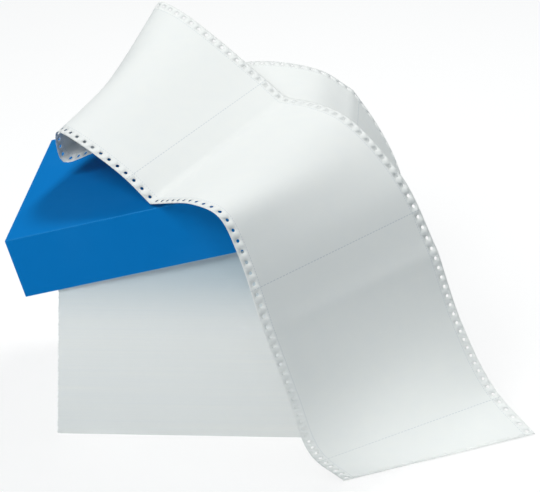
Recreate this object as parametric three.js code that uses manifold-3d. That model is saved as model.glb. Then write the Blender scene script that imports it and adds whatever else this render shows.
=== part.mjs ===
// Fanfold continuous form paper: a tall stack, its top sheets pulled out over an askew box lid.
// Units are millimetres, +Z is up, +X runs along the stack's 11 inch side, -Y faces the viewer.
import * as THREE from 'three';
import { mergeVertices } from 'three/addons/utils/BufferGeometryUtils.js';
import Module from 'manifold-3d';

const wasm = await Module();
wasm.setup();

// Driving dimensions: the form
const INCH = 25.4;
const FORM_WIDTH = 9.5 * INCH;
const PANEL = 11 * INCH;
const PITCH = INCH / 2;
const ROWS_PER_PANEL = Math.round(PANEL / PITCH);
const MARGIN = PITCH;
const HOLE_RADIUS = 2;
const HOLE_SIDES = 6;
const SHEET_THICKNESS = 0.5;

// Driving dimensions: the folded stack
const STACK_HEIGHT = 241;
const STACK_LEAN = Math.tan(THREE.MathUtils.degToRad(3.8));
const PLEATS = 24;
const PLEAT_DEPTH = 1.2;

// Driving dimensions: the lid, and how it lies on the stack
const LID_LENGTH = 284;
const LID_SIDE_ROOM = 7.8;
const LID_WIDTH = FORM_WIDTH + 2 * LID_SIDE_ROOM;
const LID_HEIGHT = 66;
const LID_WALL = 1.5;
const LID_TILT = THREE.MathUtils.degToRad(15.1);
const LID_YAW = THREE.MathUtils.degToRad(-1.9);
const LID_SIDE_SHIFT = 7;
const LID_DROP = 9.5;
const LID_LEFT = -179.1;
const LID_FRONT = LID_SIDE_SHIFT - LID_WIDTH / 2;
const LID_CORNER = new THREE.Vector3(LID_LEFT, LID_FRONT, STACK_HEIGHT - LID_DROP);

// The pulled-out sheets hold the shape that they were dropped in. They are ruled between their two
// margins, and each margin is a smooth curve from crease to crease through a few guide points.
// A point is [x, y as a share of the form's width, z]. Of each pair, the viewer's margin is first.
const TOP = STACK_HEIGHT;
const ARCH_START = [[165, -0.25, TOP + 39], [175, 0.75, TOP + 39]];
const LOOP_START = [[-98, -0.08, TOP + 44], [-50, 0.88, TOP + 89]];
const HANG_START = [[-30, -0.51, TOP + 35], [100, 0.27, TOP + 75]];
const FLARE_START = [[87, -0.99, TOP - 45], [262, -0.29, TOP - 41]];
const FREE_END = [[167, -0.83, 1.5], [373, -0.45, 1.5]];
const ARCH_GUIDES = [
  [[125, -0.25, TOP + 69], [77, -0.23, TOP + 62], [35, -0.2, TOP + 49]],
  [[135, 0.76, TOP + 62], [50, 0.81, TOP + 65], [15, 0.83, TOP + 42]],
];
const LOOP_GUIDES = [
  [[-135, 0, TOP + 24], [-138, -0.08, TOP + 64], [-120, -0.23, TOP + 78], [-60, -0.43, TOP + 57]],
  [[-50, 0.84, TOP + 133], [-22, 0.71, TOP + 136], [72, 0.41, TOP + 87]],
];
const HANG_GUIDES = [
  [[20, -0.78, TOP + 66], [44, -0.87, TOP + 64], [62, -0.92, TOP + 31]],
  [[137, 0.13, TOP + 81], [170, 0.01, TOP + 76], [225, -0.18, TOP + 29]],
];
const FLARE_GUIDES = [
  [[110, -1.01, 128], [132, -0.94, 52]],
  [[290, -0.34, 122], [330, -0.35, 42]],
];
// The first sheet sags in a loose loop between the stack's top fold and the arched panel
const FOLD_INSET = new THREE.Vector3(-1, 0, -1);
const LOOP_PULL_OUT = new THREE.Vector3(115, 0, -150);
const LOOP_PULL_BACK = new THREE.Vector3(75, 0, -165);
const TAIL_IN_STACK = 4;

const paper = new THREE.MeshStandardMaterial({ color: 0xe4e6e4, roughness: 0.9, metalness: 0 });
const lidCard = new THREE.MeshStandardMaterial({ color: 0x045a9e, roughness: 0.6, metalness: 0 });

const guidePoint = ([x, share, z]) => new THREE.Vector3(x, share * FORM_WIDTH, z);

// The fold at the stack's top right, which the pulled-out sheets leave it from
function stackTopRight(y) {
  return new THREE.Vector3(PANEL / 2 + STACK_HEIGHT * STACK_LEAN, y, STACK_HEIGHT);
}

// One margin of a panel, as a smooth curve from crease to crease
function marginCurve(end, from, guides, to) {
  const points = [from[end], ...guides[end], to[end]];
  return new THREE.CatmullRomCurve3(points.map(guidePoint));
}

// One margin of the sagging first sheet, from the stack's top fold up to the arched panel
function sagCurve(end) {
  const side = end === 0 ? -1 : 1;
  const fold = stackTopRight(side * FORM_WIDTH / 2).add(FOLD_INSET);
  const top = guidePoint(ARCH_START[end]);
  const below = fold.clone().add(LOOP_PULL_BACK);
  const outside = top.clone().add(LOOP_PULL_OUT);
  return new THREE.CubicBezierCurve3(fold, below, outside, top);
}

const MARGIN_CURVES = [0, 1].map((end) => [
  sagCurve(end),
  marginCurve(end, ARCH_START, ARCH_GUIDES, LOOP_START),
  marginCurve(end, LOOP_START, LOOP_GUIDES, HANG_START),
  marginCurve(end, HANG_START, HANG_GUIDES, FLARE_START),
  marginCurve(end, FLARE_START, FLARE_GUIDES, FREE_END),
]);
const PANELS_OUT = MARGIN_CURVES[0].length;
const WEB_ROWS = PANELS_OUT * ROWS_PER_PANEL;

// A point of the web: across is 0 to FORM_WIDTH from the viewer's margin, along is in hole pitches
function webPoint(across, along) {
  const panel = THREE.MathUtils.clamp(Math.floor(along / ROWS_PER_PANEL), 0, PANELS_OUT - 1);
  const t = THREE.MathUtils.clamp(along / ROWS_PER_PANEL - panel, 0, 1);
  const [near, far] = MARGIN_CURVES.map((curves) => curves[panel].getPointAt(t));
  const point = near.lerp(far, across / FORM_WIDTH);
  if (along < 0) point.x += along * TAIL_IN_STACK;
  return point;
}

function webNormal(across, along) {
  const step = 0.05;
  const over = webPoint(across + 1, along).sub(webPoint(across - 1, along));
  const on = webPoint(across, along + step).sub(webPoint(across, along - step));
  return over.cross(on).normalize();
}

// Collects shared vertices on both faces of a sheet and the triangles between them
class SheetBuilder {
  constructor() {
    this.positions = [];
    this.triangles = [];
  }

  // Adds a point on both faces and returns its top and bottom index
  add(across, along) {
    const point = webPoint(across, along);
    const lift = webNormal(across, along).multiplyScalar(SHEET_THICKNESS / 2);
    const top = this.positions.length / 3;
    this.positions.push(...point.clone().add(lift).toArray());
    this.positions.push(...point.clone().sub(lift).toArray());
    return { top, bottom: top + 1 };
  }

  // A face on both sides of the sheet
  face(a, b, c) {
    this.triangles.push(a.top, b.top, c.top);
    this.triangles.push(a.bottom, c.bottom, b.bottom);
  }

  // A wall from top to bottom below the edge from a to b
  wall(a, b) {
    this.triangles.push(a.top, b.top, b.bottom);
    this.triangles.push(a.top, b.bottom, a.bottom);
  }
}

// A sprocket hole in the margin cell between four corners given anticlockwise from far and ahead
function sprocketCell(sheet, corners, across, along) {
  const hole = [];
  const innerAngle = (k) => ((k + 0.5) * 2 * Math.PI) / HOLE_SIDES;
  for (let k = 0; k < HOLE_SIDES; k += 1) {
    const angle = innerAngle(k);
    const u = across + HOLE_RADIUS * Math.cos(angle);
    const v = along + (HOLE_RADIUS * Math.sin(angle)) / PITCH;
    hole.push(sheet.add(u, v));
  }
  const outer = (k) => corners[k % corners.length];
  const inner = (k) => hole[k % HOLE_SIDES];
  const outerAngle = (k) => Math.PI / 4 + (k * 2 * Math.PI) / corners.length;
  let o = 0;
  let i = 0;
  while (o < corners.length || i < HOLE_SIDES) {
    const outerNext = i >= HOLE_SIDES || (o < corners.length && outerAngle(o + 1) <= innerAngle(i + 1));
    if (outerNext) {
      sheet.face(outer(o), outer(o + 1), inner(i));
      o += 1;
    } else {
      sheet.face(outer(o), inner(i + 1), inner(i));
      i += 1;
    }
  }
  for (let k = 0; k < HOLE_SIDES; k += 1) sheet.wall(inner(k), inner(k + 1));
}

// The pulled-out web: one sheet with a row of cells for each hole pitch
function web(first, last) {
  const sheet = new SheetBuilder();
  const inside = FORM_WIDTH - 2 * MARGIN;
  const columns = [0, MARGIN, MARGIN + inside / 4, FORM_WIDTH / 2];
  columns.push(FORM_WIDTH - columns[2], FORM_WIDTH - MARGIN, FORM_WIDTH);
  const right = columns.length - 1;
  const grid = [];
  for (let row = first; row <= last; row += 1) grid.push(columns.map((u) => sheet.add(u, row)));
  for (let k = 0; k < grid.length - 1; k += 1) {
    const [here, next] = [grid[k], grid[k + 1]];
    const along = first + k + 0.5;
    for (let column = 0; column < right; column += 1) {
      const isMargin = column === 0 || column === right - 1;
      const [a, b, c, d] = [here[column], here[column + 1], next[column + 1], next[column]];
      if (isMargin && along > 0) {
        sprocketCell(sheet, [c, d, a, b], (columns[column] + columns[column + 1]) / 2, along);
      } else {
        sheet.face(a, b, c);
        sheet.face(a, c, d);
      }
    }
    sheet.wall(here[0], next[0]);
    sheet.wall(next[right], here[right]);
  }
  for (let column = 0; column < right; column += 1) {
    sheet.wall(grid[0][column + 1], grid[0][column]);
    sheet.wall(grid[grid.length - 1][column], grid[grid.length - 1][column + 1]);
  }
  return new wasm.Manifold(new wasm.Mesh({
    numProp: 3,
    vertProperties: new Float32Array(sheet.positions),
    triVerts: new Uint32Array(sheet.triangles),
  }));
}

// A closed three.js geometry as a solid
function solid(geometry) {
  geometry.deleteAttribute('normal');
  geometry.deleteAttribute('uv');
  const merged = mergeVertices(geometry, 1e-4);
  return new wasm.Manifold(new wasm.Mesh({
    numProp: 3,
    vertProperties: new Float32Array(merged.attributes.position.array),
    triVerts: new Uint32Array(merged.index.array),
  }));
}

// A solid as a three.js geometry
function toGeometry(body) {
  const mesh = body.getMesh();
  const geometry = new THREE.BufferGeometry();
  geometry.setAttribute('position', new THREE.BufferAttribute(new Float32Array(mesh.vertProperties), 3));
  geometry.setIndex([...mesh.triVerts]);
  geometry.computeVertexNormals();
  return geometry;
}

// The folded sheets: a leaning block whose ends are pleated where the form folds back on itself
function stack() {
  const pleat = STACK_HEIGHT / PLEATS;
  const half = PANEL / 2;
  const outline = [];
  for (let k = 0; k <= PLEATS; k += 1) {
    outline.push([half, k * pleat]);
    if (k < PLEATS) outline.push([half - PLEAT_DEPTH, (k + 0.5) * pleat]);
  }
  for (let k = PLEATS; k >= 0; k -= 1) {
    outline.push([-half, k * pleat]);
    if (k > 0) outline.push([-half + PLEAT_DEPTH, (k - 0.5) * pleat]);
  }
  const shape = new THREE.Shape(outline.map(([x, z]) => new THREE.Vector2(x + z * STACK_LEAN, z)));
  const block = new THREE.ExtrudeGeometry(shape, { depth: FORM_WIDTH, bevelEnabled: false });
  block.rotateX(Math.PI / 2);
  block.translate(0, FORM_WIDTH / 2, 0);
  return solid(block);
}

// The lid in its own axes: x along its length from the left end, z 0 at the outside of its top
function lid() {
  const outside = new THREE.BoxGeometry(LID_LENGTH, LID_WIDTH, LID_HEIGHT);
  outside.translate(LID_LENGTH / 2, LID_WIDTH / 2, -LID_HEIGHT / 2);
  const hollow = new THREE.BoxGeometry(LID_LENGTH - 2 * LID_WALL, LID_WIDTH - 2 * LID_WALL, LID_HEIGHT);
  hollow.translate(LID_LENGTH / 2, LID_WIDTH / 2, -LID_HEIGHT / 2 - LID_WALL);
  return solid(outside).subtract(solid(hollow));
}

const form = new THREE.Mesh(toGeometry(stack().add(web(-1, WEB_ROWS))), paper);
form.name = 'continuous_form';

const lidMesh = new THREE.Mesh(toGeometry(lid()), lidCard);
lidMesh.name = 'box_lid';
lidMesh.position.copy(LID_CORNER);
lidMesh.rotation.set(0, -LID_TILT, LID_YAW, 'ZYX');

const group = new THREE.Group();
group.add(form, lidMesh);

// The origin is the bottom centre of the bounding box
group.updateMatrixWorld(true);
const box = new THREE.Box3().setFromObject(group, true);
const centre = box.getCenter(new THREE.Vector3());
group.position.set(-centre.x, -centre.y, -box.min.z);

export default group;
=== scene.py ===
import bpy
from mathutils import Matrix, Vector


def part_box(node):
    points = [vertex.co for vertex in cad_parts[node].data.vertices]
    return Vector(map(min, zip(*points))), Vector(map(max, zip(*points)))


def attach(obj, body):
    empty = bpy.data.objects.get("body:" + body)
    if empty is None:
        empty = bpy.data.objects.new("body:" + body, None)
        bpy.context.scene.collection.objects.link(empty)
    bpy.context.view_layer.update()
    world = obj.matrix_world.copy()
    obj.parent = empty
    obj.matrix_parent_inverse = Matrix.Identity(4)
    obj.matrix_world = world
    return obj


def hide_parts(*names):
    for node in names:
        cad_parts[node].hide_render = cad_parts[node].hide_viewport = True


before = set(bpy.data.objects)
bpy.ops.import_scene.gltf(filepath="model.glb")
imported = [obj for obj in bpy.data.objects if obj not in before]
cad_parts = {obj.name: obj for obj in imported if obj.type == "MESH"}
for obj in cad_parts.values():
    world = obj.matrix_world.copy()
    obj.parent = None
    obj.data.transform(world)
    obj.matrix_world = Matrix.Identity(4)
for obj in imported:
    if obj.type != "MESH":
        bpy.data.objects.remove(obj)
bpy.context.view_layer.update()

# Looks of the fanfold continuous form paper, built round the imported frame. Units are metres.
import math

import bmesh
import bpy
import numpy as np
from mathutils import Matrix, Vector

# Driving dimensions. They are those of the part's source, but for thinner paper, rounder holes and
# finer, shallower folds.
MM = 0.001
INCH = 25.4 * MM
FORM_INCHES = 9.5
PANEL_INCHES = 11
FORM_WIDTH = FORM_INCHES * INCH
PANEL = PANEL_INCHES * INCH
PITCH = INCH / 2
MARGIN = PITCH
ROWS_PER_PANEL = 22
HOLE_RADIUS = 2.0 * MM
HOLE_SIDES = 16
PAPER = 0.12 * MM
STACK_HEIGHT = 241 * MM
STACK_LEAN = math.tan(math.radians(3.8))
FOLDS = 60
FOLD_DEPTH = 1.0 * MM
# Each fold's outline: how far up the layer, and how far the fold bulges there
FOLD_OUTLINE = ((0.08, 0.0), (0.3, 0.8), (0.5, 1.0), (0.7, 0.8), (0.92, 0.0))
# Waves from layer to layer that set some folds further in: size, and radians for each layer
FOLD_WAVES = ((0.35 * MM, 1.7), (0.25 * MM, 0.61))
LID_LENGTH = 284 * MM
LID_SIDE_ROOM = 7.8 * MM
LID_WIDTH = FORM_WIDTH + 2 * LID_SIDE_ROOM
LID_HEIGHT = 66 * MM
LID_WALL = 1.5 * MM
LID_EDGE_RADIUS = 1.1 * MM
LID_TILT = math.radians(15.1)
LID_YAW = math.radians(-1.9)
LID_SIDE_SHIFT = 7 * MM
LID_CORNER = Vector((-179.1 * MM, LID_SIDE_SHIFT - LID_WIDTH / 2, 231.5 * MM))

# The pulled-out sheets run in a smooth curve from crease to crease along each margin. A guide point
# is x in millimetres, y as a share of the form's width and z in millimetres, and of each pair the
# viewer's margin is first.
ARCH_START = [(165, -0.25, 280), (175, 0.75, 280)]
LOOP_START = [(-98, -0.08, 285), (-50, 0.88, 330)]
HANG_START = [(-30, -0.51, 276), (100, 0.27, 316)]
FLARE_START = [(87, -0.99, 196), (262, -0.29, 200)]
FREE_END = [(167, -0.83, 1.5), (373, -0.45, 1.5)]
ARCH_GUIDES = [
    [(125, -0.25, 310), (77, -0.23, 303), (35, -0.2, 290)],
    [(135, 0.76, 303), (50, 0.81, 306), (15, 0.83, 283)],
]
LOOP_GUIDES = [
    [(-135, 0, 265), (-138, -0.08, 305), (-120, -0.23, 319), (-60, -0.43, 298)],
    [(-50, 0.84, 374), (-22, 0.71, 377), (72, 0.41, 328)],
]
HANG_GUIDES = [
    [(20, -0.78, 307), (44, -0.87, 305), (62, -0.92, 272)],
    [(137, 0.13, 322), (170, 0.01, 317), (225, -0.18, 270)],
]
FLARE_GUIDES = [
    [(110, -1.01, 128), (132, -0.94, 52)],
    [(290, -0.34, 122), (330, -0.35, 42)],
]
FOLD_INSET = np.array((-1, 0, -1)) * MM
LOOP_PULL_OUT = np.array((115, 0, -150)) * MM
LOOP_PULL_BACK = np.array((75, 0, -165)) * MM

# Mesh steps: samples of a curve, columns between the margins, hole pitches to either side from
# which a normal is read, and the slack in telling the lid's faces apart
CURVE_STEPS = 200
BODY_COLUMNS = 8
NORMAL_REACH = 0.04
TOLERANCE = MM / 10

# The camera fitted to the photograph, in the part's own coordinates before its origin is centred
CAMERA_TARGET = Vector((85.3, 0, 167.7)) * MM
CAMERA_DISTANCE = 1.7434
CAMERA_ELEVATION = math.radians(27.22)
CAMERA_AZIMUTH = math.radians(-1.74)
FOCAL_PIXELS = 1600
PHOTO_WIDTH = 540


def lid_matrix():
    """Places the lid's own axes: x along it from the left end, z down from the top."""
    turn = Matrix.Rotation(LID_YAW, 4, "Z") @ Matrix.Rotation(-LID_TILT, 4, "Y")
    return Matrix.Translation(LID_CORNER) @ turn


def origin_shift():
    """The move from the part's own coordinates to the frame, read off the lid's box."""
    lo, _ = [Vector(v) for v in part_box("box_lid")]
    ends = [(x, y, z) for x in (0, LID_LENGTH) for y in (0, LID_WIDTH) for z in (0, -LID_HEIGHT)]
    corners = [lid_matrix() @ Vector(c) for c in ends]
    low = Vector([min(c[i] for c in corners) for i in range(3)])
    return lo - low


SHIFT = origin_shift()


# The sheet's surface

def smooth_curve(points):
    """A centripetal Catmull-Rom curve through the points, as CURVE_STEPS + 1 samples."""
    p = np.vstack([2 * points[0] - points[1], points, 2 * points[-1] - points[-2]])
    x = np.linspace(0, 1, CURVE_STEPS + 1) * (len(points) - 1)
    k = np.minimum(x.astype(int), len(points) - 2)
    w = (x - k)[:, None]
    a, b, c, d = p[k], p[k + 1], p[k + 2], p[k + 3]
    before, here, after = [np.sqrt(np.linalg.norm(v, axis=1))[:, None] for v in (b - a, c - b, d - c)]
    enter = here * ((b - a) / before - (c - a) / (before + here)) + (c - b)
    leave = here * ((d - c) / after - (d - b) / (here + after)) + (c - b)
    bend = -3 * b + 3 * c - 2 * enter - leave
    return b + w * (enter + w * (bend + w * (2 * b - 2 * c + enter + leave)))


def sag_curve(end):
    """The hidden first sheet, from the stack's top fold up to the arched panel."""
    side = -1 if end == 0 else 1
    corner = (PANEL / 2 + STACK_HEIGHT * STACK_LEAN, side * FORM_WIDTH / 2, STACK_HEIGHT)
    fold = np.array(corner) + FOLD_INSET
    top = guide_points([ARCH_START[end]])[0]
    p = [fold, fold + LOOP_PULL_BACK, top + LOOP_PULL_OUT, top]
    w = np.linspace(0, 1, CURVE_STEPS + 1)[:, None]
    return (1 - w) ** 3 * p[0] + 3 * w * (1 - w) ** 2 * p[1] + 3 * w * w * (1 - w) * p[2] + w ** 3 * p[3]


def guide_points(guides):
    return np.array([(x * MM, share * FORM_WIDTH, z * MM) for x, share, z in guides])


def margin_curves(end):
    """The samples of each panel along one margin, from the stack to the free end."""
    creases = [ARCH_START, LOOP_START, HANG_START, FLARE_START, FREE_END]
    between = [ARCH_GUIDES, LOOP_GUIDES, HANG_GUIDES, FLARE_GUIDES]
    curves = [sag_curve(end)]
    for start, guides, stop in zip(creases, between, creases[1:]):
        curves.append(smooth_curve(guide_points([start[end], *guides[end], stop[end]])))
    return curves


MARGIN_CURVES = [margin_curves(0), margin_curves(1)]
PANELS_OUT = len(MARGIN_CURVES[0])


def margin_point(end, along):
    """Points of one margin, evenly spaced along it, with along in hole pitches from the stack."""
    out = np.zeros((len(along), 3))
    which = np.clip((along / ROWS_PER_PANEL).astype(int), 0, PANELS_OUT - 1)
    for k, curve in enumerate(MARGIN_CURVES[end]):
        here = which == k
        run = np.append(0, np.cumsum(np.linalg.norm(np.diff(curve, axis=0), axis=1)))
        reach = np.clip(along[here] / ROWS_PER_PANEL - k, 0, 1) * run[-1]
        out[here] = np.stack([np.interp(reach, run, curve[:, i]) for i in range(3)], axis=1)
    return out


def web_points(across, along):
    near, far = margin_point(0, along), margin_point(1, along)
    return near + (far - near) * (across / FORM_WIDTH)[:, None]


class Sheet:
    """Collects flat points and faces, then lays them on the sheet's surface with a thickness."""

    def __init__(self):
        self.flat = []
        self.faces = []

    def add(self, across, along):
        self.flat.append((across, along))
        return len(self.flat) - 1

    def mesh(self, name):
        flat = np.array(self.flat)
        across, along = flat[:, 0], flat[:, 1]
        point = web_points(across, along)
        over = web_points(across + MM, along) - web_points(across - MM, along)
        on = web_points(across, along + NORMAL_REACH) - web_points(across, along - NORMAL_REACH)
        normal = np.cross(over, on)
        normal /= np.linalg.norm(normal, axis=1)[:, None]
        count = len(flat)
        verts = np.vstack([point + normal * PAPER / 2, point - normal * PAPER / 2]) + np.array(SHIFT)
        faces = [tuple(f) for f in self.faces]
        edges = dict.fromkeys(pair for f in self.faces for pair in zip(f, f[1:] + f[:1]))
        faces += [tuple(v + count for v in reversed(f)) for f in self.faces]
        faces += [(b, a, a + count, b + count) for (a, b) in edges if (b, a) not in edges]
        mesh = bpy.data.meshes.new(name)
        mesh.from_pydata(verts.tolist(), [], faces)
        uv = mesh.uv_layers.new(name="flat")
        both = np.vstack([flat, flat])
        for loop in mesh.loops:
            u, s = both[loop.vertex_index]
            uv.data[loop.index].uv = (u / INCH, s * PITCH / INCH)
        mesh.polygons.foreach_set("use_smooth", [True] * len(mesh.polygons))
        return mesh


def hole_cell(sheet, corners, mids, across, along):
    """A margin cell with a round hole: corners and mids alternate round it."""
    ring = []
    for k in range(HOLE_SIDES):
        a = k * 2 * math.pi / HOLE_SIDES
        beside, ahead = HOLE_RADIUS * math.cos(a), HOLE_RADIUS * math.sin(a) / PITCH
        ring.append(sheet.add(across + beside, along + ahead))
    outer = [v for pair in zip(mids, corners) for v in pair]
    step = HOLE_SIDES // len(outer)
    for k, v in enumerate(outer):
        after = outer[(k + 1) % len(outer)]
        for i in range(step):
            a, b = ring[k * step + i], ring[(k * step + i + 1) % HOLE_SIDES]
            sheet.faces.append([v, b, a])
        sheet.faces.append([v, after, ring[(k + 1) * step % HOLE_SIDES]])


def web_mesh():
    """The pulled-out sheets: plain cells between the margins and a hole in each margin cell."""
    sheet = Sheet()
    rows = PANELS_OUT * ROWS_PER_PANEL
    inside = FORM_WIDTH - 2 * MARGIN
    columns = [MARGIN + inside * k / BODY_COLUMNS for k in range(BODY_COLUMNS + 1)]
    left = [[sheet.add(0, r / 2), sheet.add(MARGIN / 2, r / 2)] for r in range(2 * rows + 1)]
    body = [[sheet.add(c, r / 2) for c in columns] for r in range(2 * rows + 1)]
    right = [[sheet.add(FORM_WIDTH - MARGIN / 2, r / 2), sheet.add(FORM_WIDTH, r / 2)]
             for r in range(2 * rows + 1)]
    for r in range(2 * rows):
        for c in range(len(columns) - 1):
            sheet.faces.append([body[r][c], body[r][c + 1], body[r + 1][c + 1], body[r + 1][c]])
    for row in range(rows):
        a, b, c = 2 * row, 2 * row + 1, 2 * row + 2
        corners = [body[c][0], left[c][0], left[a][0], body[a][0]]
        mids = [body[b][0], left[c][1], left[b][0], left[a][1]]
        hole_cell(sheet, corners, mids, MARGIN / 2, row + 0.5)
        corners = [right[c][1], body[c][-1], body[a][-1], right[a][1]]
        mids = [right[b][1], right[c][0], body[b][-1], right[a][0]]
        hole_cell(sheet, corners, mids, FORM_WIDTH - MARGIN / 2, row + 0.5)
    return sheet.mesh("form_web")


def stack_mesh():
    """The folded sheets: straight sides at the margins, rounded folds at the two ends."""
    layer = STACK_HEIGHT / FOLDS
    outline = []
    for k in range(FOLDS):
        wave = abs(sum(size * math.sin(k * turn) for size, turn in FOLD_WAVES))
        for step, bulge in FOLD_OUTLINE:
            outline.append((PANEL / 2 - FOLD_DEPTH * (1 - bulge) - wave, (k + step) * layer))
    loop = outline + [(-x, z) for x, z in reversed(outline)]
    loop[0], loop[-1] = (loop[0][0], 0.0), (loop[-1][0], 0.0)
    top = len(outline) - 1
    loop[top], loop[top + 1] = (loop[top][0], STACK_HEIGHT), (loop[top + 1][0], STACK_HEIGHT)
    verts = []
    for y in (-FORM_WIDTH / 2, FORM_WIDTH / 2):
        verts += [(x + z * STACK_LEAN + SHIFT.x, y + SHIFT.y, z + SHIFT.z) for x, z in loop]
    n = len(loop)
    faces = [(k, (k + 1) % n, (k + 1) % n + n, k + n) for k in range(n)]
    half = n // 2
    for base, flip in ((0, False), (n, True)):
        for k in range(half - 1):
            quad = (base + k, base + n - 1 - k, base + n - 2 - k, base + k + 1)
            faces.append(quad if not flip else tuple(reversed(quad)))
    mesh = bpy.data.meshes.new("form_stack")
    mesh.from_pydata(verts, [], faces)
    work = bmesh.new()
    work.from_mesh(mesh)
    bmesh.ops.recalc_face_normals(work, faces=work.faces)
    work.to_mesh(mesh)
    work.free()
    return mesh


def lid_mesh():
    """The card lid: an open box with softly rounded outside edges and thin walls."""
    work = bmesh.new()
    size = Vector((LID_LENGTH, LID_WIDTH, LID_HEIGHT))
    bmesh.ops.create_cube(work, size=1.0)
    for v in work.verts:
        v.co = Vector(((v.co.x + 0.5) * size.x, (v.co.y + 0.5) * size.y, (v.co.z - 0.5) * size.z))
    bottom = [f for f in work.faces if f.calc_center_median().z < -LID_HEIGHT + TOLERANCE]
    bmesh.ops.inset_region(work, faces=bottom, thickness=LID_WALL)
    moved = bmesh.ops.extrude_discrete_faces(work, faces=bottom)["faces"][0]
    for v in moved.verts:
        v.co.z = -LID_WALL
    rim = [e for e in work.edges if all(v.co.z > -TOLERANCE for v in e.verts)]
    rim += [e for e in work.edges if abs(e.verts[0].co.z - e.verts[1].co.z) > LID_HEIGHT - TOLERANCE]
    bmesh.ops.bevel(work, geom=rim, offset=LID_EDGE_RADIUS, segments=4, profile=0.5, affect="EDGES")
    work.transform(Matrix.Translation(SHIFT) @ lid_matrix())
    bmesh.ops.recalc_face_normals(work, faces=work.faces)
    mesh = bpy.data.meshes.new("lid_card")
    work.to_mesh(mesh)
    work.free()
    return mesh


# Materials

class Nodes:
    """A short way to write a material's node tree."""

    def __init__(self, name):
        self.material = bpy.data.materials.new(name)
        self.material.use_nodes = True
        self.tree = self.material.node_tree
        self.tree.nodes.clear()

    def add(self, kind, values=None, **settings):
        """A new node. Its settings go first, then values are linked or set by name or index."""
        node = self.tree.nodes.new(kind)
        for key, value in settings.items():
            setattr(node, key, value)
        for key, value in (values or {}).items():
            if isinstance(value, bpy.types.NodeSocket):
                self.tree.links.new(value, node.inputs[key])
            else:
                node.inputs[key].default_value = value
        return node

    def math(self, operation, a, b=0.0):
        return self.add("ShaderNodeMath", {0: a, 1: b}, operation=operation).outputs[0]

    def mix(self, factor, a, b):
        return self.add("ShaderNodeMix", {0: factor, 6: a, 7: b}, data_type="RGBA").outputs[2]

    def cuts(self, value, each_inch, share):
        """1 on the cuts of a perforation that runs along value, 0 on the ties between them."""
        return self.math("LESS_THAN", self.math("FRACT", self.math("MULTIPLY", value, each_inch)), share)

    def near(self, value, period, half_width):
        """1 where value is within half_width of a multiple of period."""
        cycle = self.math("ABSOLUTE", self.math("WRAP", self.math("ADD", value, period / 2), period))
        offset = self.math("ABSOLUTE", self.math("SUBTRACT", cycle, period / 2))
        return self.math("LESS_THAN", offset, half_width)


PAPER_WHITE = (0.82, 0.83, 0.81, 1)
PAPER_SHADE = (0.74, 0.77, 0.80, 1)
# Painted shade: the grey that the top of the stack turns, standing in for the shade under the lid
PAINTED_LID_SHADE = (0.30, 0.42, 0.50, 1)
PERFORATION = (0.52, 0.56, 0.60, 1)
# Painted shade for the sprocket holes drawn on the stack
PAINTED_HOLE_SHADE = (0.05, 0.055, 0.06, 1)
LID_BLUE = (0.0005, 0.155, 0.46, 1)
# A lighter blue for scuffs and rubbed edges, also a painted highlight on the rounded edges
LID_BLUE_WEAR_AND_HIGHLIGHT = (0.06, 0.32, 0.66, 1)
CARD_INSIDE = (0.60, 0.60, 0.57, 1)
CARD_GRAIN = (0.45, 0.45, 0.43, 1)
FLOOR_LIGHT = (0.97, 0.97, 0.97, 1)
FLOOR_DIM = (0.95, 0.95, 0.95, 1)

# How strongly each pattern shows
LIGHT_THROUGH_PAPER = 0.14
WEB_CLOUDS = 0.35
WEB_FIBRES = 0.4
WEB_MARKS = 0.6
FINE_EDGES = 0.55
BROAD_EDGES = 0.45
STACK_SHADE = 0.4
# The strength of the painted shade under the lid, at the top of the stack
PAINTED_LID_SHADE_STRENGTH = 0.8
STACK_TEAR_LINE = 0.5
LID_SCUFFS = 0.05
# Lighter rounded edges of the lid: partly rubbed wear, partly a painted highlight
LID_EDGE_WEAR_AND_HIGHLIGHT = 0.7
CARD_GRAIN_SHARE = 0.5
FLOOR_CLOUDS = 0.02
FLOOR_LIGHTENED = 0.75

# Half the widths of the drawn perforations, the web's two in inches and the stack's in metres
TEAR_LINE_HALF = 0.014
FOLD_LINE_HALF = 0.02
STACK_TEAR_HALF = 0.25 * MM

# The height at which the painted shade under the lid starts on the stack, and how upright a level face's
# normal is
PAINTED_LID_SHADE_FROM = 0.11
LEVEL_FACE = 0.9


def paper_shader(n, colour, bump):
    """Thin uncoated paper: a matt surface that lets a little light through."""
    front = n.add("ShaderNodeBsdfPrincipled",
                  {"Base Color": colour, "Roughness": 0.88, "Normal": bump,
                   "Specular IOR Level": 0.25})
    through = n.add("ShaderNodeBsdfTranslucent", {"Color": colour})
    both = n.add("ShaderNodeMixShader",
                 {0: LIGHT_THROUGH_PAPER, 1: front.outputs[0], 2: through.outputs[0]})
    n.add("ShaderNodeOutputMaterial", {"Surface": both.outputs[0]})


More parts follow.
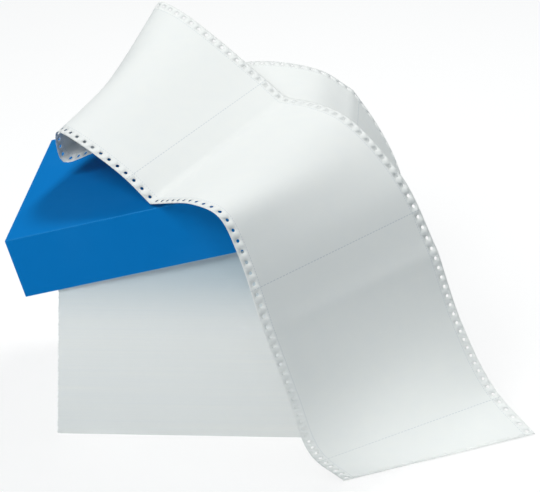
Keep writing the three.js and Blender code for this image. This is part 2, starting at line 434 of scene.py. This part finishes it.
def web_material():
    """Paper of the pulled-out sheets. Its flat map is in inches, across and along the form."""
    n = Nodes("paper_web")
    uv = n.add("ShaderNodeUVMap", uv_map="flat")
    split = n.add("ShaderNodeSeparateXYZ", {0: uv.outputs[0]})
    u, s = split.outputs[0], split.outputs[1]
    fibre = n.add("ShaderNodeTexNoise", {"Vector": uv.outputs[0], "Scale": 34.0, "Detail": 5.0})
    cloud = n.add("ShaderNodeTexNoise", {"Vector": uv.outputs[0], "Scale": 1.4, "Detail": 2.0})
    tone = n.math("MULTIPLY", cloud.outputs[0], WEB_CLOUDS)
    colour = n.mix(tone, PAPER_WHITE, PAPER_SHADE)
    # The tear-off perforation half an inch in from each edge
    from_middle = n.math("ABSOLUTE", n.math("SUBTRACT", u, FORM_INCHES / 2))
    off_line = n.math("ABSOLUTE", n.math("SUBTRACT", from_middle, FORM_INCHES / 2 - MARGIN / INCH))
    line = n.math("LESS_THAN", off_line, TEAR_LINE_HALF)
    margin_line = n.math("MULTIPLY", line, n.cuts(s, each_inch=8.0, share=0.62))
    # The perforated folds across the sheet, one each panel
    fold = n.near(s, PANEL_INCHES, FOLD_LINE_HALF)
    fold_line = n.math("MULTIPLY", fold, n.cuts(u, each_inch=6.0, share=0.66))
    marks = n.math("MAXIMUM", margin_line, fold_line)
    colour = n.mix(n.math("MULTIPLY", marks, WEB_MARKS), colour, PERFORATION)
    height = n.math("SUBTRACT", n.math("MULTIPLY", fibre.outputs[0], WEB_FIBRES), marks)
    bump = n.add("ShaderNodeBump", {"Strength": 0.12, "Distance": 0.0006, "Height": height})
    paper_shader(n, colour, bump.outputs[0])
    return n.material


def stack_material():
    """Paper of the folded sheets, with their edges drawn as level lines."""
    n = Nodes("paper_stack")
    place = n.add("ShaderNodeTexCoord").outputs["Object"]
    split = n.add("ShaderNodeSeparateXYZ", {0: place})
    x, y, z = split.outputs[0], split.outputs[1], split.outputs[2]
    # Sheet edges: level lines, fine ones and broad ones
    squeezed = n.add("ShaderNodeMapping", {"Vector": place, "Scale": (5.0, 5.0, 900.0)})
    fine = n.add("ShaderNodeTexNoise", {"Vector": squeezed.outputs[0], "Scale": 1.0, "Detail": 3.0})
    broad_map = n.add("ShaderNodeMapping", {"Vector": place, "Scale": (3.0, 3.0, 120.0)})
    broad = n.add("ShaderNodeTexNoise", {"Vector": broad_map.outputs[0], "Scale": 1.0, "Detail": 2.0})
    fine_part = n.math("MULTIPLY", fine.outputs[0], FINE_EDGES)
    broad_part = n.math("MULTIPLY", broad.outputs[0], BROAD_EDGES)
    lines = n.math("ADD", fine_part, broad_part)
    tone = n.add("ShaderNodeMapRange", {"Value": lines, "From Min": 0.3, "From Max": 0.7})
    shade = n.math("MULTIPLY", tone.outputs[0], STACK_SHADE)
    colour = n.mix(shade, PAPER_WHITE, PAPER_SHADE)
    # Real paper isn't greyer here. The grey stands in for the deep shade under the lid in the photo.
    rise = n.add("ShaderNodeMapRange", {"Value": z, "From Min": PAINTED_LID_SHADE_FROM, "From Max": STACK_HEIGHT},
                 interpolation_type="SMOOTHERSTEP")
    colour = n.mix(n.math("MULTIPLY", rise.outputs[0], PAINTED_LID_SHADE_STRENGTH), colour, PAINTED_LID_SHADE)
    # Sprocket holes and tear-off perforations, drawn on the top and the bottom sheet. The holes are
    # dark, as painted shade for the deep holes down through the stack.
    geometry = n.add("ShaderNodeNewGeometry")
    facing = n.add("ShaderNodeSeparateXYZ", {0: geometry.outputs["Normal"]})
    level = n.math("GREATER_THAN", n.math("ABSOLUTE", facing.outputs[2]), LEVEL_FACE)
    lean = n.math("MULTIPLY", z, STACK_LEAN)
    along = n.math("SUBTRACT", n.math("SUBTRACT", x, SHIFT.x - PANEL / 2 - PITCH * ROWS_PER_PANEL), lean)
    step = n.math("SUBTRACT", n.math("FRACT", n.math("DIVIDE", along, PITCH)), 0.5)
    step = n.math("MULTIPLY", step, PITCH)
    off = n.math("ABSOLUTE", n.math("SUBTRACT", y, SHIFT.y))
    off = n.math("SUBTRACT", off, FORM_WIDTH / 2 - MARGIN / 2)
    reach = n.math("ADD", n.math("MULTIPLY", step, step), n.math("MULTIPLY", off, off))
    hole = n.math("LESS_THAN", reach, HOLE_RADIUS ** 2)
    hole = n.math("MULTIPLY", hole, level)
    from_tear = n.math("ABSOLUTE", n.math("SUBTRACT", off, -MARGIN / 2))
    tear = n.math("MULTIPLY", n.math("LESS_THAN", from_tear, STACK_TEAR_HALF), level)
    colour = n.mix(n.math("MULTIPLY", tear, STACK_TEAR_LINE), colour, PERFORATION)
    colour = n.mix(hole, colour, PAINTED_HOLE_SHADE)
    bump = n.add("ShaderNodeBump", {"Strength": 0.35, "Distance": 0.0008, "Height": lines})
    shader = n.add("ShaderNodeBsdfPrincipled",
                   {"Base Color": colour, "Roughness": 0.9, "Normal": bump.outputs[0],
                    "Specular IOR Level": 0.2})
    n.add("ShaderNodeOutputMaterial", {"Surface": shader.outputs[0]})
    return n.material


def lid_material():
    n = Nodes("blue_card")
    place = n.add("ShaderNodeTexCoord").outputs["Object"]
    grain = n.add("ShaderNodeTexNoise", {"Vector": place, "Scale": 260.0, "Detail": 4.0})
    cloud = n.add("ShaderNodeTexNoise", {"Vector": place, "Scale": 9.0, "Detail": 3.0})
    scuff = n.add("ShaderNodeMapRange", {"Value": cloud.outputs[0], "From Min": 0.5, "From Max": 0.75})
    wear_and_highlight = n.math("MULTIPLY", scuff.outputs[0], LID_SCUFFS)
    # The rounded edges are lighter: partly rubbed wear, partly a painted highlight along them
    edge = n.add("ShaderNodeBevel", {"Radius": 0.0012}, samples=6)
    geometry = n.add("ShaderNodeNewGeometry")
    bend = n.add("ShaderNodeVectorMath", {0: edge.outputs[0], 1: geometry.outputs["Normal"]},
                 operation="DOT_PRODUCT").outputs["Value"]
    edge_wear_and_highlight = n.add("ShaderNodeMapRange", {"Value": bend, "From Min": 0.995, "From Max": 0.94})
    wear_and_highlight = n.math("MAXIMUM", wear_and_highlight, n.math("MULTIPLY", edge_wear_and_highlight.outputs[0], LID_EDGE_WEAR_AND_HIGHLIGHT))
    colour = n.mix(wear_and_highlight, LID_BLUE, LID_BLUE_WEAR_AND_HIGHLIGHT)
    bump = n.add("ShaderNodeBump", {"Strength": 0.08, "Distance": 0.0003, "Height": grain.outputs[0]})
    shader = n.add("ShaderNodeBsdfPrincipled",
                   {"Base Color": colour, "Roughness": 0.6, "Normal": bump.outputs[0],
                    "Specular IOR Level": 0.04})
    n.add("ShaderNodeOutputMaterial", {"Surface": shader.outputs[0]})
    return n.material


def card_inside_material():
    n = Nodes("card_inside")
    place = n.add("ShaderNodeTexCoord").outputs["Object"]
    grain = n.add("ShaderNodeTexNoise", {"Vector": place, "Scale": 300.0, "Detail": 4.0})
    colour = n.mix(n.math("MULTIPLY", grain.outputs[0], CARD_GRAIN_SHARE), CARD_INSIDE, CARD_GRAIN)
    shader = n.add("ShaderNodeBsdfPrincipled", {"Base Color": colour, "Roughness": 0.9})
    n.add("ShaderNodeOutputMaterial", {"Surface": shader.outputs[0]})
    return n.material


def floor_material():
    n = Nodes("white_floor")
    place = n.add("ShaderNodeTexCoord").outputs["Object"]
    cloud = n.add("ShaderNodeTexNoise", {"Vector": place, "Scale": 2.0})
    colour = n.mix(n.math("MULTIPLY", cloud.outputs[0], FLOOR_CLOUDS), FLOOR_LIGHT, FLOOR_DIM)
    shader = n.add("ShaderNodeBsdfDiffuse", {"Color": colour})
    # The camera sees the floor lightened towards white, so that its shadow stays soft
    white = n.add("ShaderNodeEmission", {"Color": (1, 1, 1, 1), "Strength": 1.0})
    camera_ray = n.add("ShaderNodeLightPath").outputs["Is Camera Ray"]
    seen = n.math("MULTIPLY", camera_ray, FLOOR_LIGHTENED)
    both = n.add("ShaderNodeMixShader", {0: seen, 1: shader.outputs[0], 2: white.outputs[0]})
    n.add("ShaderNodeOutputMaterial", {"Surface": both.outputs[0]})
    return n.material


# Pieces

def piece(name, mesh, *materials):
    thing = bpy.data.objects.new(name, mesh)
    for material in materials:
        mesh.materials.append(material)
    bpy.context.scene.collection.objects.link(thing)
    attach(thing, "root")
    return thing


def add_form():
    web = piece("form_web", web_mesh(), web_material())
    stack = piece("form_stack", stack_mesh(), stack_material())
    for thing in (web, stack):
        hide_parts("continuous_form")


def add_lid():
    """Adds the lid, with bare card on every face that lies inside its walls."""
    mesh = lid_mesh()
    lid = piece("lid_card", mesh, lid_material(), card_inside_material())
    inner = (Matrix.Translation(SHIFT) @ lid_matrix()).inverted()
    for face in mesh.polygons:
        at = inner @ face.center
        walls = min(at.x, LID_LENGTH - at.x, at.y, LID_WIDTH - at.y, -at.z)
        if walls > LID_WALL - TOLERANCE:
            face.material_index = 1
    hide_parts("box_lid")


# Stage

FLOOR_REACH = 12.0
SKY_LIGHT = 0.28
SKY_SEEN_EXTRA = 0.72
SKY_TINT = (0.74, 0.90, 1.0, 1)
SKY_SEEN = (1, 1, 1, 1)


def add_lamp(name, place, aim, size, watts, colour=(1, 1, 1), spread=180):
    data = bpy.data.lights.new(name, "AREA")
    data.shape = "SQUARE"
    data.size = size
    data.energy = watts
    data.color = colour
    data.spread = math.radians(spread)
    lamp = bpy.data.objects.new(name, data)
    lamp.location = place
    lamp.rotation_euler = (Vector(aim) - Vector(place)).to_track_quat("-Z", "Y").to_euler()
    bpy.context.scene.collection.objects.link(lamp)


def add_floor():
    far = FLOOR_REACH
    corners = [(-far, -far, 0), (far, -far, 0), (far, far, 0), (-far, far, 0)]
    mesh = bpy.data.meshes.new("floor")
    mesh.from_pydata(corners, [], [(0, 1, 2, 3)])
    mesh.materials.append(floor_material())
    floor = bpy.data.objects.new("floor", mesh)
    bpy.context.scene.collection.objects.link(floor)


def add_lamps():
    add_lamp("key", place=(0.35, 0.9, 2.0), aim=(0, 0, 0.2), size=0.5, watts=27,
             colour=(1.0, 0.98, 0.95))
    add_lamp("fill", place=(-1.0, -1.5, 2.1), aim=(0, 0, 0.1), size=1.0, watts=40,
             colour=(1.0, 0.99, 0.97))
    add_lamp("low", place=(1.1, -0.45, 0.12), aim=(0.24, -0.17, -0.03), size=0.25, watts=0.16,
             colour=(1.0, 1.0, 0.97), spread=22)


def add_world():
    """A dim, bluish sky for the object, which the camera sees as plain white."""
    world = bpy.data.worlds.new("studio")
    world.use_nodes = True
    tree = world.node_tree
    background = tree.nodes["Background"]
    path = tree.nodes.new("ShaderNodeLightPath")
    seen = tree.nodes.new("ShaderNodeMath")
    seen.operation = "MULTIPLY_ADD"
    seen.inputs[1].default_value = SKY_SEEN_EXTRA
    seen.inputs[2].default_value = SKY_LIGHT
    tree.links.new(path.outputs["Is Camera Ray"], seen.inputs[0])
    tree.links.new(seen.outputs[0], background.inputs["Strength"])
    tint = tree.nodes.new("ShaderNodeMix")
    tint.data_type = "RGBA"
    tint.inputs[6].default_value = SKY_TINT
    tint.inputs[7].default_value = SKY_SEEN
    tree.links.new(path.outputs["Is Camera Ray"], tint.inputs[0])
    tree.links.new(tint.outputs[2], background.inputs["Color"])
    bpy.context.scene.world = world


def add_camera():
    data = bpy.data.cameras.new("camera")
    data.sensor_width = 36
    data.lens = FOCAL_PIXELS * data.sensor_width / PHOTO_WIDTH
    data.clip_end = 50
    camera = bpy.data.objects.new("camera", data)
    flat = math.cos(CAMERA_ELEVATION)
    level = (math.sin(CAMERA_AZIMUTH) * flat, math.cos(CAMERA_AZIMUTH) * flat)
    forward = Vector((*level, -math.sin(CAMERA_ELEVATION)))
    camera.location = CAMERA_TARGET + SHIFT - forward * CAMERA_DISTANCE
    camera.rotation_euler = forward.to_track_quat("-Z", "Y").to_euler()
    bpy.context.scene.collection.objects.link(camera)
    bpy.context.scene.camera = camera


add_form()
add_lid()
add_floor()
add_lamps()
add_world()
add_camera()
bpy.context.scene.view_settings.view_transform = "Standard"
bpy.context.view_layer.update()
